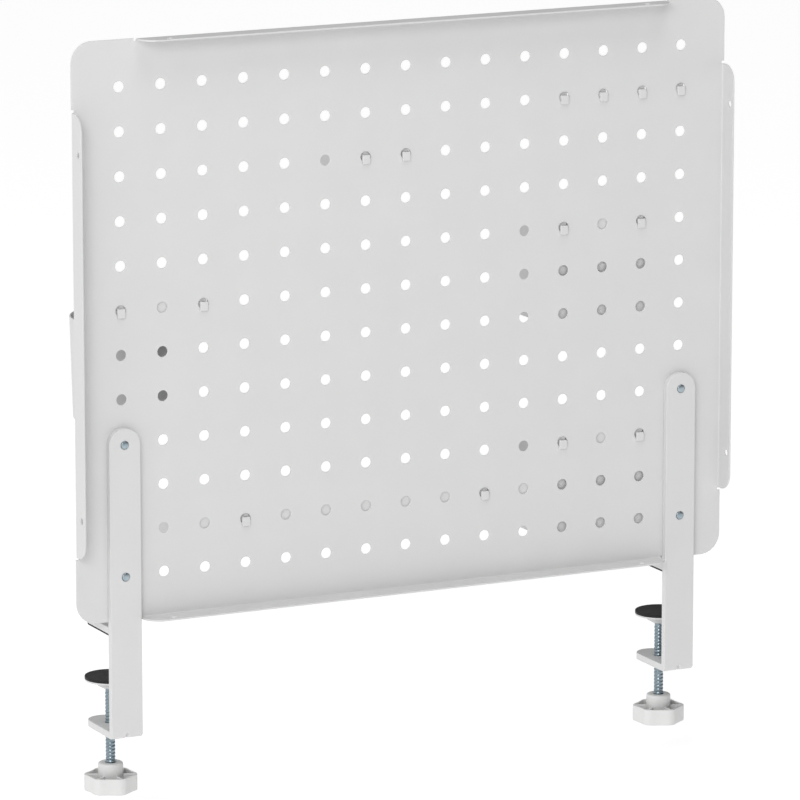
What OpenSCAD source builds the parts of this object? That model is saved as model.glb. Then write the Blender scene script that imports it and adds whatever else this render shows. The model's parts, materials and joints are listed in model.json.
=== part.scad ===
// Desk-clamp pegboard: a folded steel panel that two screw clamps hold upright
// behind a desk, with lift-off hooks, a cup, a tray, two bins and a shelf.
// The desk edge sits at the origin: the desk top is z = 0, the desk is on the -Y side,
// and +Y looks at the back of the panel. All sizes are millimetres.

/* [Panel] */
// Distance from hole to hole, both ways
pitch = 38; // [37:0.5:40]
// Number of hole columns
columns = 15; // [15]
// Number of hole rows
rows = 12; // [12]
// Diameter of a peg hole
hole_d = 9.4; // [9.4:0.1:10]
// Thickness of the panel sheet
sheet_t = 1.5; // [1.2:0.1:1.8]
// Sheet outside the first and last hole column
side_margin = 43; // [40:1:46]
// Sheet above the top hole row
top_margin = 40; // [36:1:44]
// Sheet below the bottom hole row
bottom_margin = 39; // [36:1:44]
// Radius of the panel's corners
corner_r = 18.5; // [12:0.5:24]
// Height of the panel's lower edge above the desk top
panel_lift = 12; // [11:0.5:16]

/* [Flanges] */
// Depth of the four stiffening flanges behind the panel
flange_depth = 19; // [16:1:22]
// Distance from a panel corner to the end of a flange
flange_inset = 59; // [57:1:66]
// Outer radius of the folds
fold_r = 2.5; // [2.2:0.1:4]
// Radius of a flange's free corners
flange_corner_r = 15; // [8:1:15]
// Diameter of the screw holes in the flanges
flange_hole_d = 5.5; // [4:0.5:6]
// Width and depth of the relief notch at each end of a fold
notch = 2.2; // [1.6:0.1:2.6]

/* [Clamp brackets] */
// Width of the strap, the lower plate and the jaw
strap_w = 28.6; // [26:0.2:30]
// Thickness of the strap, the lower plate and the jaw
strap_t = 6; // [5:0.5:6]
// Reach of the jaw and the lower plate in front of the panel's back
reach = 57; // [54:1:62]
// Depth of the lower plate's underside below the desk top
plate_drop = 90; // [86:1:96]
// Thickness of the rubber under the jaw
jaw_pad_t = 1.7; // [1:0.1:2]

/* [Clamp screws] */
// Diameter over the spindle's thread
spindle_d = 8.4; // [8:0.1:9]
// Distance of the spindle in front of the panel's back
spindle_y = 31; // [28:0.5:33]
// Height of the rubber disc's top below the desk top
disc_drop = 42.7; // [40:0.1:45]
// Diameter of the pressure plate and its rubber disc
disc_d = 43; // [38:1:46]
// Diameter over the knob's six lobes
knob_d = 45.8; // [42:0.2:48]
// Height of the knob's lobed rim
knob_rim_h = 14.4; // [12:0.1:16]
// Diameter of the knob's hub
knob_hub_d = 21.6; // [20:0.1:23]
// Overall height of the knob
knob_h = 24.8; // [21:0.1:26]
// Depth of the knob's underside below the desk top
knob_drop = 144; // [141:0.1:146]

/* [Accessories] */
// Thickness of the accessories' folded sheet
box_t = 2; // [1.5:0.1:2]
// Width of a peg and of its tongue
peg_w = 7.2; // [6:0.1:7.4]
// Distance of a tongue's lower end below its hole's centre
tongue_drop = 6.2; // [5.6:0.1:9]
// Thickness of a tongue
tongue_t = 1.8; // [1.5:0.1:2.5]
// Outside diameter of the cup at its rim
cup_d = 104; // [96:1:110]
// Height of the cup
cup_h = 90; // [70:1:95]
// Width of a bin
bin_w = 122; // [114:1:124]
// Depth of a bin from back to front
bin_depth = 88; // [70:1:96]
// Width of the long shelf
shelf_w = 326; // [316:1:328]
// Depth of the long shelf
shelf_depth = 88; // [70:1:96]

/* [Hidden] */
$fn = 64;

white = "whitesmoke";
zinc = "lightsteelblue";
rubber = "dimgray";

panel_w = (columns - 1) * pitch + 2 * side_margin;
panel_h = (rows - 1) * pitch + top_margin + bottom_margin;
panel_mid_z = panel_lift + panel_h / 2;
end_col = (columns - 1) / 2;
hole_r = hole_d / 2;
slack = 0.2;                       // gap between parts that slide past each other
fit = 0.05;                        // radial clearance of a running fit

// Clamp levels
bolt_rows = [8, 11];               // rows, counted from the top, that the straps bolt to
bolt_r = 3.6;
bolt_end_y = strap_t + 0.5;
washer_r = 9;
washer_t = 1.6;
bolt_head_r = 7;
bolt_head_h = 4.4;
bolt_key = 5;
strap_fold_r = 3;
dart_r = 1.3;
dart_size = 4.3;
spindle_r = spindle_d / 2;
rubber_disc_t = 2.3;
pressure_plate_t = 1.6;
pressure_hub_h = 7.4;
pressure_cone_h = 3.2;
pressure_hub_r = [5.5, 11.3];
neck_r = 2.5;
rivet_r = 4;
rivet_h = 1.2;
rivet_pocket = 1.8;
knob_floor = 4.5;
knob_wall = 2;
knob_rib = 1.8;
knob_turn = 5;                     // angle of the knob's first lobe from the +Y direction
lobe_half = 9;                     // half angle of a lobe's round nose
scallop_depth = 2.4;               // how far a side's middle lies inside the lobe circle
head_af = 13;
head_h = 5.3;
cap_t = 1.4;

// Accessory levels, relative to the height of the accessory's own row of holes
peg_top = 1.9;
peg_top_r = 1.4;
tongue_corner_r = 0.8;
plate_y = -sheet_t - slack;        // back face of what hangs on the panel's front
hook_reach = 44;
hook_t = 2.6;
hook_bend = 7;
hook_drop = 18;
hook_tip = 11;
tray_w = 64.6;
tray_depth = 75;
tray_bottom = -26;
tray_cheek = -2;
shelf_bottom = -30;
shelf_cheek = -9.5;
bin_top = 9.5;
bin_bottom = -82.2;
bin_front = -46;
cup_y = -67.3;
cup_rim_drop = 18;
cup_taper = 2.4;
cup_wall = 1.6;
ledge_t = 2;
ledge_w = 44;
ledge_reach = 30;
seam = 0.03;                       // gap left where two pieces are welded together
cup_hanger_drop = 29;
cup_hanger_w = 102;

// Columns and rows count from 0 at the panel's +X top corner
function col_x(c) = (end_col - c) * pitch;
function row_z(r) = panel_lift + bottom_margin + (rows - 1 - r) * pitch;

// ---------- flat outlines ----------

// Rectangle centred on the origin with round corners
module rounded_rect(w, h, r) {
    square([w - 2 * r, h], center = true);
    square([w, h - 2 * r], center = true);
    for (sx = [-1, 1], sy = [-1, 1])
        translate([sx * (w / 2 - r), sy * (h / 2 - r)]) circle(r);
}

// Bar from y = 0 to y = length whose far end is a half circle
module round_ended(w, length) {
    translate([-w / 2, 0]) square([w, length - w / 2]);
    translate([0, length - w / 2]) circle(d = w);
}

// Quarter ring round the origin, in the quadrant x > 0, y > 0
module quarter_ring(outer, inner) {
    difference() {
        intersection() {
            circle(outer);
            square(outer);
        }
        if (inner > 0) circle(inner);
    }
}

// Extrudes an outline drawn in x and z from y = front to y = front + depth
module upright(front, depth) {
    translate([0, front + depth, 0]) rotate([90, 0, 0]) linear_extrude(depth) children();
}

// Extrudes an outline drawn in y and z, centred on x = 0
module sideways(width) {
    translate([-width / 2, 0, 0]) rotate([90, 0, 90]) linear_extrude(width) children();
}

// ---------- panel ----------

// Outline of the flat sheet, cut back where the flanges fold off it
module sheet_outline() {
    difference() {
        rounded_rect(panel_w, panel_h, corner_r);
        for (s = [-1, 1]) {
            translate([0, s * panel_h / 2])
                square([panel_w - 2 * flange_inset + 2 * notch, 2 * fold_r], center = true);
            translate([s * panel_w / 2, 0])
                square([2 * fold_r, panel_h - 2 * flange_inset + 2 * notch], center = true);
        }
    }
}

// Flange of the given length: its outer face is z = 0 and the panel's back face is y = 0
module flange(length, hole_inset) {
    bend_y = fold_r - sheet_t;
    flat = flange_depth - bend_y;
    translate([-length / 2, bend_y, -fold_r]) rotate([90, 0, 90]) linear_extrude(length)
        mirror([1, 0]) quarter_ring(fold_r, fold_r - sheet_t);
    translate([0, bend_y, -sheet_t]) linear_extrude(sheet_t) difference() {
        intersection() {
            translate([-length / 2, 0]) square([length, flat]);
            rounded_rect(length, 2 * flat, flange_corner_r);
        }
        for (s = [-1, 1])
            translate([s * (length / 2 - hole_inset), flange_depth * 0.66 - bend_y])
                circle(d = flange_hole_d);
    }
}

module panel() {
    across = panel_w - 2 * flange_inset;
    down = panel_h - 2 * flange_inset;
    color(white) {
        upright(-sheet_t, sheet_t) difference() {
            translate([0, panel_mid_z]) sheet_outline();
            for (c = [0:columns - 1], r = [0:rows - 1])
                translate([col_x(c), row_z(r)]) circle(d = hole_d);
        }
        for (side = [0, 1]) {
            translate([0, 0, panel_mid_z]) mirror([0, 0, side])
                translate([0, 0, panel_h / 2]) flange(across, 25);
            translate([0, 0, panel_mid_z]) mirror([side, 0, 0])
                translate([panel_w / 2, 0, 0]) rotate([0, 90, 0]) flange(down, 34);
        }
    }
}

// Runs its children at each of the four holes that carry the brackets
module at_bolts() {
    for (s = [-1, 1], r = bolt_rows)
        translate([s * col_x(0), 0, row_z(r)]) rotate([-90, 0, 0]) children();
}

module strap_bolts() {
    head_front = -sheet_t - washer_t - bolt_head_h;
    color(zinc) at_bolts() difference() {
        union() {
            translate([0, 0, head_front]) cylinder(r = bolt_head_r, h = bolt_head_h);
            translate([0, 0, head_front + 1]) cylinder(r = bolt_r, h = bolt_end_y - head_front - 1);
        }
        translate([0, 0, head_front - 1]) cylinder(d = bolt_key * 2 / sqrt(3), h = 3.6, $fn = 6);
    }
}

module strap_washers() {
    color(zinc) at_bolts() translate([0, 0, -sheet_t - washer_t]) difference() {
        cylinder(r = washer_r, h = washer_t);
        translate([0, 0, -1]) cylinder(r = bolt_r + 0.3, h = washer_t + 2);
    }
}

// ---------- clamps, drawn at x = 0 ----------

// Strap, fold and lower plate, in one bent bar with a threaded hole for the spindle
module bracket() {
    strap_top = row_z(bolt_rows[0]) + strap_w / 2;
    color(white) difference() {
        union() {
            upright(0, strap_t) translate([0, -plate_drop + strap_fold_r])
                round_ended(strap_w, strap_top + plate_drop - strap_fold_r);
            translate([0, strap_t - strap_fold_r, -plate_drop]) linear_extrude(strap_t)
                mirror([0, 1]) round_ended(strap_w, reach + strap_t - strap_fold_r);
            sideways(strap_w) translate([strap_t - strap_fold_r, strap_fold_r - plate_drop])
                mirror([0, 1]) quarter_ring(strap_fold_r, 0);
        }
        for (r = bolt_rows)
            translate([0, -1, row_z(r)]) rotate([-90, 0, 0])
                cylinder(r = bolt_r + 0.05, h = strap_t + 2);
        translate([0, -spindle_y, -plate_drop - 1]) cylinder(r = spindle_r + fit, h = strap_t + 2);
        translate([0, strap_t - dart_size / 2, dart_size / 2 - plate_drop]) rotate([-45, 0, 0])
            cylinder(r = dart_r, h = 4 * dart_size, center = true);
    }
}

// Upper jaw, welded to the front of the strap above the desk top
module jaw() {
    color(white) translate([0, 0, jaw_pad_t]) linear_extrude(strap_t)
        mirror([0, 1]) round_ended(strap_w, reach);
}

module jaw_pad() {
    inset = 0.4;
    color(rubber) linear_extrude(jaw_pad_t)
        translate([0, -inset]) mirror([0, 1]) round_ended(strap_w - 2 * inset, reach - 2 * inset);
}

// Round steel foot with a hub below, a hole for the spindle's neck and a pocket for its rivet
module pressure_plate() {
    top = -disc_drop - rubber_disc_t;
    under = top - pressure_plate_t;
    color(white) translate([0, -spindle_y, 0]) difference() {
        union() {
            translate([0, 0, under]) cylinder(d = disc_d, h = pressure_plate_t);
            translate([0, 0, under - pressure_hub_h])
                cylinder(r1 = pressure_hub_r[0], r2 = pressure_hub_r[1], h = pressure_cone_h);
            translate([0, 0, under - pressure_hub_h + pressure_cone_h])
                cylinder(r = pressure_hub_r[1], h = pressure_hub_h - pressure_cone_h);
        }
        translate([0, 0, under - pressure_hub_h - 1])
            cylinder(r = neck_r + fit, h = pressure_hub_h + pressure_plate_t + 2);
        translate([0, 0, top - rivet_pocket]) cylinder(r = rivet_r + 0.6, h = rivet_pocket + 1);
    }
}

module rubber_disc() {
    color(rubber) translate([0, -spindle_y, -disc_drop - rubber_disc_t])
        cylinder(d = disc_d, h = rubber_disc_t);
}

// Threaded rod with a riveted neck at the top and a hexagonal head inside the knob
module spindle() {
    plate_top = -disc_drop - rubber_disc_t;
    shoulder = plate_top - pressure_plate_t - pressure_hub_h - slack;
    rivet_z = plate_top - rivet_pocket + slack;
    head_z = -knob_drop + cap_t;
    color(zinc) translate([0, -spindle_y, 0]) {
        translate([0, 0, head_z]) cylinder(r = spindle_r, h = shoulder - head_z);
        translate([0, 0, head_z]) cylinder(d = head_af * 2 / sqrt(3), h = head_h, $fn = 6);
        translate([0, 0, head_z]) cylinder(r = neck_r, h = rivet_z - head_z);
        translate([0, 0, rivet_z]) cylinder(r = rivet_r, h = rivet_h);
    }
}

// Six-lobed outline with hollow sides, drawn inset by the wall thickness given
module lobed(inset) {
    lobe_r = knob_d / 2;
    mid_r = lobe_r - scallop_depth;
    nose_x = lobe_r * cos(30 - lobe_half);
    nose_y = lobe_r * sin(30 - lobe_half);
    scallop_c = (nose_x * nose_x + nose_y * nose_y - mid_r * mid_r) / (2 * (nose_x - mid_r));
    difference() {
        circle(lobe_r - inset);
        for (i = [0:5]) rotate(knob_turn + 60 * i + 120)
            translate([scallop_c, 0]) circle(scallop_c - mid_r + inset, $fn = 128);
    }
}

module knob() {
    color(white) translate([0, -spindle_y, -knob_drop]) difference() {
        union() {
            linear_extrude(knob_rim_h) difference() {
                lobed(0);
                circle(d = knob_hub_d - 1);
            }
            cylinder(d = knob_hub_d, h = knob_h);
        }
        translate([0, 0, knob_floor]) linear_extrude(knob_h) difference() {
            lobed(knob_wall);
            circle(d = knob_hub_d);
            for (i = [0:2]) rotate(knob_turn + 60 * i + 90)
                square([knob_d, knob_rib], center = true);
        }
        translate([0, 0, -1]) cylinder(r = spindle_r + fit, h = knob_h + 2);
        translate([0, 0, -1])
            cylinder(d = (head_af + 0.2) * 2 / sqrt(3), h = cap_t + head_h + 1.1, $fn = 6);
        translate([0, 0, -1]) cylinder(d = 17.1, h = cap_t + 1);
    }
}

// Plug that closes the knob's underside below the spindle's head
module knob_cap() {
    color(white) translate([0, -spindle_y, -knob_drop]) cylinder(d = 17, h = cap_t);
}

// Puts a clamp's piece on the +X side, called left as seen from behind, or on the -X side
module left() {
    translate([col_x(0), 0, 0]) children();
}

module right() {
    translate([-col_x(0), 0, 0]) children();
}

// ---------- accessories ----------

// Peg through a hole at the origin, with its tongue behind the panel
module peg(root_y) {
    tongue_y = slack;
    seat = peg_w / 2 - 0.15;
    upright(root_y, tongue_y + tongue_t - root_y) {
        translate([0, -hole_r + seat + 0.1]) circle(seat);
        translate([-seat, -hole_r + seat + 0.1])
            square([2 * seat, hole_r - seat - 0.1 + peg_top - peg_top_r]);
        translate([peg_top_r - seat, 0]) square([2 * (seat - peg_top_r), peg_top]);
        for (s = [-1, 1])
            translate([s * (seat - peg_top_r), peg_top - peg_top_r]) circle(peg_top_r);
    }
    upright(tongue_y, tongue_t) {
        translate([-peg_w / 2, tongue_corner_r - tongue_drop])
            square([peg_w, tongue_drop - tongue_corner_r + peg_top - peg_top_r]);
        translate([tongue_corner_r - peg_w / 2, -tongue_drop])
            square([peg_w - 2 * tongue_corner_r, tongue_drop]);
        translate([peg_top_r - peg_w / 2, 0]) square([peg_w - 2 * peg_top_r, peg_top]);
        for (s = [-1, 1]) translate([s * (peg_w / 2 - tongue_corner_r), tongue_corner_r - tongue_drop])
            circle(tongue_corner_r);
        for (s = [-1, 1])
            translate([s * (peg_w / 2 - peg_top_r), peg_top - peg_top_r]) circle(peg_top_r);
    }
}

// Hook bent from flat bar, its peg at the origin
module hook() {
    back = -plate_y;
    inner = hook_bend - hook_t;
    color(white) {
        peg(plate_y - hook_t);
        mirror([0, 1, 0]) sideways(peg_w) {
            translate([back, -hook_drop]) square([hook_t, hook_drop + 5]);
            translate([back + hook_bend, -hook_drop]) rotate(180) quarter_ring(hook_bend, inner);
            translate([back + hook_bend, -hook_drop - hook_bend])
                square([hook_reach - 2 * hook_bend, hook_t]);
            translate([back + hook_reach - hook_bend, -hook_drop]) rotate(270)
                quarter_ring(hook_bend, inner);
            translate([back + hook_reach - hook_t, -hook_drop]) square([hook_t, hook_tip]);
            translate([back + hook_reach - hook_t / 2, hook_tip - hook_drop]) circle(d = hook_t);
        }
    }
}

// Flat hanger strip with pegs at the x positions given
module hanger(width, bottom, top, pegs) {
    color(white) {
        upright(plate_y - box_t, box_t) translate([0, (top + bottom) / 2])
            rounded_rect(width, top - bottom, 5);
        for (x = pegs) translate([x, 0, 0]) peg(plate_y - box_t);
    }
}

// Open-topped box of folded sheet whose back lies against a hanger strip. The cheeks run down
// from the back's top to the front's top after a level stretch.
module open_box(width, depth, bottom, top, front, level) {
    color(white) translate([0, plate_y - box_t, 0]) mirror([0, 1, 0]) difference() {
        sideways(width) polygon([[0, top], [0, bottom], [depth, bottom], [depth, front],
            [level, top]]);
        sideways(width - 2 * box_t) translate([box_t, bottom + box_t])
            square([depth - 2 * box_t, top - bottom]);
    }
}

module small_tray() {
    open_box(tray_w, tray_depth, tray_bottom, tray_cheek, tray_cheek - 8, tray_depth * 0.55);
}

module small_tray_hanger() {
    hanger(tray_w, tray_bottom, 9, [-pitch / 2, pitch / 2]);
}

module shelf() {
    open_box(shelf_w, shelf_depth, shelf_bottom, shelf_cheek, shelf_cheek - 4,
        shelf_depth * 0.7);
}

module shelf_hanger() {
    hanger(shelf_w, shelf_bottom, 13, [-3 * pitch, 3 * pitch]);
}

module bin() {
    open_box(bin_w, bin_depth, bin_bottom, bin_top, bin_front, bin_depth * 0.35);
}

module bin_hanger() {
    hanger(bin_w - 10, -12, bin_top - 1, [-pitch, pitch]);
}

module cup() {
    wall_out = cup_d / 2;
    color(white) translate([0, cup_y, -cup_rim_drop - cup_h]) difference() {
        cylinder(r1 = wall_out - cup_taper, r2 = wall_out, h = cup_h);
        translate([0, 0, cup_wall]) cylinder(r1 = wall_out - cup_taper - cup_wall,
            r2 = wall_out - cup_wall, h = cup_h - cup_wall + 0.01);
    }
}

// Strip with two pegs whose lower end turns forward to a curved seat on the cup's wall
module cup_hanger() {
    hanger(cup_hanger_w, -cup_hanger_drop, 11, [-pitch, pitch]);
    color(white) difference() {
        translate([-ledge_w / 2, -ledge_reach, -cup_hanger_drop])
            cube([ledge_w, ledge_reach + plate_y - box_t, ledge_t]);
        translate([0, cup_y, -cup_rim_drop - cup_h]) cylinder(r1 = cup_d / 2 - cup_taper + seam,
            r2 = cup_d / 2 + seam, h = cup_h);
    }
}

// Puts an accessory on the panel at a column, which may be a half one, and a row
module hang(c, r) {
    translate([col_x(c), 0, row_z(r)]) children();
}

panel();
strap_bolts();
strap_washers();
left() bracket();  // left_bracket
left() jaw();  // left_jaw
left() jaw_pad();  // left_jaw_pad
left() pressure_plate();  // left_pressure_plate
left() rubber_disc();  // left_rubber_disc
left() spindle();  // left_spindle
left() knob();  // left_knob
left() knob_cap();  // left_knob_cap
right() bracket();  // right_bracket
right() jaw();  // right_jaw
right() jaw_pad();  // right_jaw_pad
right() pressure_plate();  // right_pressure_plate
right() rubber_disc();  // right_rubber_disc
right() spindle();  // right_spindle
right() knob();  // right_knob
right() knob_cap();  // right_knob_cap
hang(11, 1) hook();  // hook_1
hang(12, 1) hook();  // hook_2
hang(13, 1) hook();  // hook_3
hang(14, 1) hook();  // hook_4
hang(6.5, 2) small_tray();
hang(6.5, 2) small_tray_hanger();
hang(1, 5) cup();
hang(1, 5) cup_hanger();
hang(12, 4) bin();  // upper_bin
hang(12, 4) bin_hanger();  // upper_bin_hanger
hang(12, 9) bin();  // lower_bin
hang(12, 9) bin_hanger();  // lower_bin_hanger
hang(6, 10) shelf();
hang(6, 10) shelf_hanger();
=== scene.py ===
"""Looks of a desk-clamp pegboard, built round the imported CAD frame.

Everything is in metres in the CAD's row frame: +Z up, +Y out of the panel's back, the desk on
the -Y side. Every CAD node gets a finer stand-in: sheet metal with rounded edges and true folds,
threaded spindles, moulded knobs. Places come from the frame's boxes and mounts.
"""

import json
import math

import bmesh
import bpy
from mathutils import Matrix, Vector
from mathutils.geometry import delaunay_2d_cdt


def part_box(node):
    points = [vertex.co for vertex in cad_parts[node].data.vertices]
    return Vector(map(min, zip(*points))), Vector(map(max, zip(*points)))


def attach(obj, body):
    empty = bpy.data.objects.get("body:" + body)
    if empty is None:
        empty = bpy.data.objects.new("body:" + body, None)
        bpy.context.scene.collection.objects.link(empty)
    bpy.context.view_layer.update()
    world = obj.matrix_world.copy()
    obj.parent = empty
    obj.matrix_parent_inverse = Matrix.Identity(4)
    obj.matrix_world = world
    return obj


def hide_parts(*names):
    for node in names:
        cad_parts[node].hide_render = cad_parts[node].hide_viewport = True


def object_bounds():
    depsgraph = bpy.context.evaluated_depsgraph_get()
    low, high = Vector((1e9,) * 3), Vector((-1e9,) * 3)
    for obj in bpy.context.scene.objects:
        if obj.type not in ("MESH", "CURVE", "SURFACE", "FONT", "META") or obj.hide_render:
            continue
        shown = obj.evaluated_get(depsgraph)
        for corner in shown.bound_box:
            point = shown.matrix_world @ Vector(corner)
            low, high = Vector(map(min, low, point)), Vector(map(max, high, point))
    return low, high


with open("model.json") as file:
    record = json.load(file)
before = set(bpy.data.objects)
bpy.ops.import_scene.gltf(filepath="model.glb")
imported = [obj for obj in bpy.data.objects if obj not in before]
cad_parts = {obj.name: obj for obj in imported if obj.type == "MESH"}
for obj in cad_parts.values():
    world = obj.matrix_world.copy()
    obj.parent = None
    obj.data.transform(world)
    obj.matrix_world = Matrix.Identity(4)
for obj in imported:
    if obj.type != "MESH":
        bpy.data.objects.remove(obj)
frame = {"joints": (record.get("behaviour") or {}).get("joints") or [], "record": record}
cad_low, cad_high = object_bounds()

MM = 0.001
MOUNTS = {m["name"]: m for m in frame["record"]["mounts"]}
SIDES = {"left": 1, "right": -1}            # the sign of x that each clamp stands on

# ---------- sizes ----------

PANEL_LOW, PANEL_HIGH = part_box("panel")
GRID = MOUNTS["peg_holes_wide"]
COLUMNS, ROWS = 15, 12
PITCH = GRID["dims"]["spacing_x_mm"] * MM / (COLUMNS - 1)
TOP_ROW = GRID["pos_m"][2] + GRID["dims"]["spacing_y_mm"] * MM / 2
HOLE_R = GRID["dims"]["hole_r_mm"] * MM
SHEET = -PANEL_LOW.y                        # the panel's back face is y = 0
FLANGE_HOLE_R = MOUNTS["top_flange_holes"]["dims"]["hole_r_mm"] * MM
FOLD_R = 2.5 * MM                           # outer radius of the panel's folds
FLANGE_INSET = 59 * MM
FLANGE_CORNER_R = 15 * MM
FLANGE_CORNER_STEPS = 10
CORNER_R = 18.5 * MM
CORNER_STEPS = 12
NOTCH = 2.2 * MM
COAT = 0.35 * MM                            # radius that the coating gives a sheet's edges

STRAP_LOW, STRAP_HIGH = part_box("left_bracket")
STRAP_W = STRAP_HIGH.x - STRAP_LOW.x
STRAP_T = STRAP_HIGH.y
CLAMP_X = (STRAP_HIGH.x + STRAP_LOW.x) / 2
STRAP_BEND_R = 4 * MM
BOLT_ROWS = (8, 11)
BOLT_HOLE_R = 3.7 * MM
BOLT_SHANK_R = 3.6 * MM
SPINDLE_Y = MOUNTS["left_foot_face"]["pos_m"][1]
SPINDLE_R = 4.2 * MM
THREAD_DEPTH = 0.42 * MM
SPIN_PER_FEED = frame["record"]["behaviour"]["couplings"][0]["ratio"]      # radians per metre
LEAD = 2 * math.pi / SPIN_PER_FEED

BOX_T = 2 * MM                              # folded sheet of the accessories
PEG_R = 3.45 * MM
PEG_TOP = 1.9 * MM
TONGUE_DROP = 6.2 * MM
HANG_Y = -(SHEET + 0.2 * MM)                # back of whatever hangs on the panel's front


def hole(column, row):
    """x and z of a peg hole, counted from the +X top corner."""
    return ((COLUMNS - 1) / 2 - column) * PITCH, TOP_ROW - row * PITCH


# ---------- flat outlines ----------

def arc(centre, radius, start, end, steps):
    """Points on an arc between two angles in degrees, both ends included."""
    cx, cy = centre
    turns = [math.radians(start + (end - start) * k / steps) for k in range(steps + 1)]
    return [Vector((cx + radius * math.cos(t), cy + radius * math.sin(t))) for t in turns]


def circle(centre, radius, steps=32):
    return arc(centre, radius, 0, 360, steps)[:-1]


def fillet(points, radii, steps=5, closed=True):
    """The outline with its corners rounded. radii is one radius, or one for each point."""
    points = [Vector(p) for p in points]
    if not hasattr(radii, "__len__"):
        radii = [radii] * len(points)
    out = []
    for i, (p, r) in enumerate(zip(points, radii)):
        if r == 0 or not closed and i in (0, len(points) - 1):
            out.append(p)
            continue
        a = (points[i - 1] - p).normalized()
        b = (points[(i + 1) % len(points)] - p).normalized()
        half = a.angle(b) / 2
        middle = p + (a + b).normalized() * (r / math.sin(half))
        reach = r / math.tan(half)
        first, last = p + a * reach - middle, p + b * reach - middle
        start = math.atan2(first.y, first.x)
        turn = (math.atan2(last.y, last.x) - start + math.pi) % (2 * math.pi) - math.pi
        out += arc(middle, r, math.degrees(start), math.degrees(start + turn), steps)
    return out


def rectangle(low_x, high_x, low_y, high_y):
    corners = ((low_x, low_y), (high_x, low_y), (high_x, high_y), (low_x, high_y))
    return [Vector(p) for p in corners]


def round_ended(width, start, end):
    """Bar along +y from start to end, whose far end is a half circle."""
    half = width / 2
    return [Vector((-half, start)), Vector((half, start)),
            *arc((0, end - half), half, 0, 180, 24)]


def offset(loop, distance):
    """A closed loop moved to its left by distance, with mitred corners."""
    out = []
    for i, p in enumerate(loop):
        a = (p - loop[i - 1]).normalized()
        b = (loop[(i + 1) % len(loop)] - p).normalized()
        left_a, left_b = Vector((-a.y, a.x)), Vector((-b.y, b.x))
        out.append(p + (left_a + left_b) * (distance / (1 + left_a.dot(left_b))))
    return out


def shifted(loop, dx, dy):
    return [p + Vector((dx, dy)) for p in loop]


def inside(point, loop):
    """Whether a point lies inside a closed loop."""
    found = False
    for p, q in zip(loop, loop[1:] + loop[:1]):
        if (p.y > point.y) != (q.y > point.y):
            if point.x < p.x + (point.y - p.y) / (q.y - p.y) * (q.x - p.x):
                found = not found
    return found


# ---------- solids: each is a list of points and a list of faces ----------

def edge_steps(low_rim, high_rim, thick, steps):
    """(inset, height) up the side of a sheet whose two edges are rounded."""
    quarter = [math.radians(90 * k / steps) for k in range(steps + 1)]
    low = [(low_rim * (1 - math.sin(t)), low_rim * (1 - math.cos(t))) for t in quarter]
    high = [(high_rim * (1 - math.cos(t)), thick - high_rim * (1 - math.sin(t))) for t in quarter]
    return (low if low_rim else [(0, 0)]) + (high if high_rim else [(0, thick)])


def cap(points, loops, lines):
    """Triangles between a flat outline and its holes. loops and lines are lists of indices."""
    used = sorted({i for chain in loops + lines for i in chain})
    local = {index: k for k, index in enumerate(used)}
    edges = [(local[a], local[b]) for loop in loops for a, b in zip(loop, loop[1:] + loop[:1])]
    edges += [(local[a], local[b]) for line in lines for a, b in zip(line, line[1:])]
    flat = [Vector(points[i][:2]) / MM for i in used]
    _, _, triangles, origins, _, _ = delaunay_2d_cdt(flat, edges, [], 1, 1e-7)
    loop_of = {i: k for k, loop in enumerate(loops) for i in loop}
    faces = []
    for triangle in triangles:
        face = [used[origins[v][0]] for v in triangle]
        owners = {loop_of.get(i, -1) for i in face}
        if len(owners) == 1 and -1 not in owners:
            owner = owners.pop()
            centre = sum((Vector(points[i][:2]) for i in face), Vector((0, 0))) / 3
            if inside(centre, [Vector(points[i][:2]) for i in loops[owner]]) != (owner == 0):
                continue
        faces.append(face)
    return faces


def sheet(loops, thick, place, rims=(COAT, COAT), lines=(), steps=3):
    """Solid sheet of the flat outline loops[0], anticlockwise, less the other loops. place turns
    its flat x, y and height into a point. lines are (first, last, points between) across it."""
    loops = [loops[0]] + [loop[::-1] for loop in loops[1:]]
    levels = edge_steps(*rims, thick, steps)
    points, rings, faces = [], [], []
    for loop in loops:
        stack = []
        for inset, height in levels:
            ring = offset(loop, inset) if inset > 0 else loop
            stack.append(list(range(len(points), len(points) + len(ring))))
            points += [(p.x, p.y, height) for p in ring]
        rings.append(stack)
        for low, high in zip(stack, stack[1:]):
            for i in range(len(loop)):
                j = (i + 1) % len(loop)
                faces.append((low[i], low[j], high[j], high[i]))
    for level in (0, -1):
        height = levels[level][1]
        chains = []
        for first, last, between in lines:
            chain = list(range(len(points), len(points) + len(between)))
            points += [(p.x, p.y, height) for p in between]
            chains.append([rings[0][level][first], *chain, rings[0][level][last]])
        found = cap(points, [stack[level] for stack in rings], chains)
        faces += [face[::-1] for face in found] if level == 0 else found
    return [place(*p) for p in points], faces


def turned(profile, centre, steps=64, closed=False):
    """Solid turned about the vertical axis at centre. profile is (radius, height) points; it
    starts and ends on the axis, or is closed round a ring."""
    points, rings, faces = [], [], []
    for r, z in profile:
        if r < 1e-7:
            rings.append([len(points)] * steps)
            points.append(Vector((centre[0], centre[1], z)))
        else:
            rings.append(list(range(len(points), len(points) + steps)))
            points += [Vector((*p, z)) for p in circle(centre, r, steps)]
    pairs = list(zip(rings, rings[1:])) + ([(rings[-1], rings[0])] if closed else [])
    for low, high in pairs:
        for i in range(steps):
            j = (i + 1) % steps
            face = list(dict.fromkeys((low[i], low[j], high[j], high[i])))
            if len(face) > 2:
                faces.append(face)
    return points, faces


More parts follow.
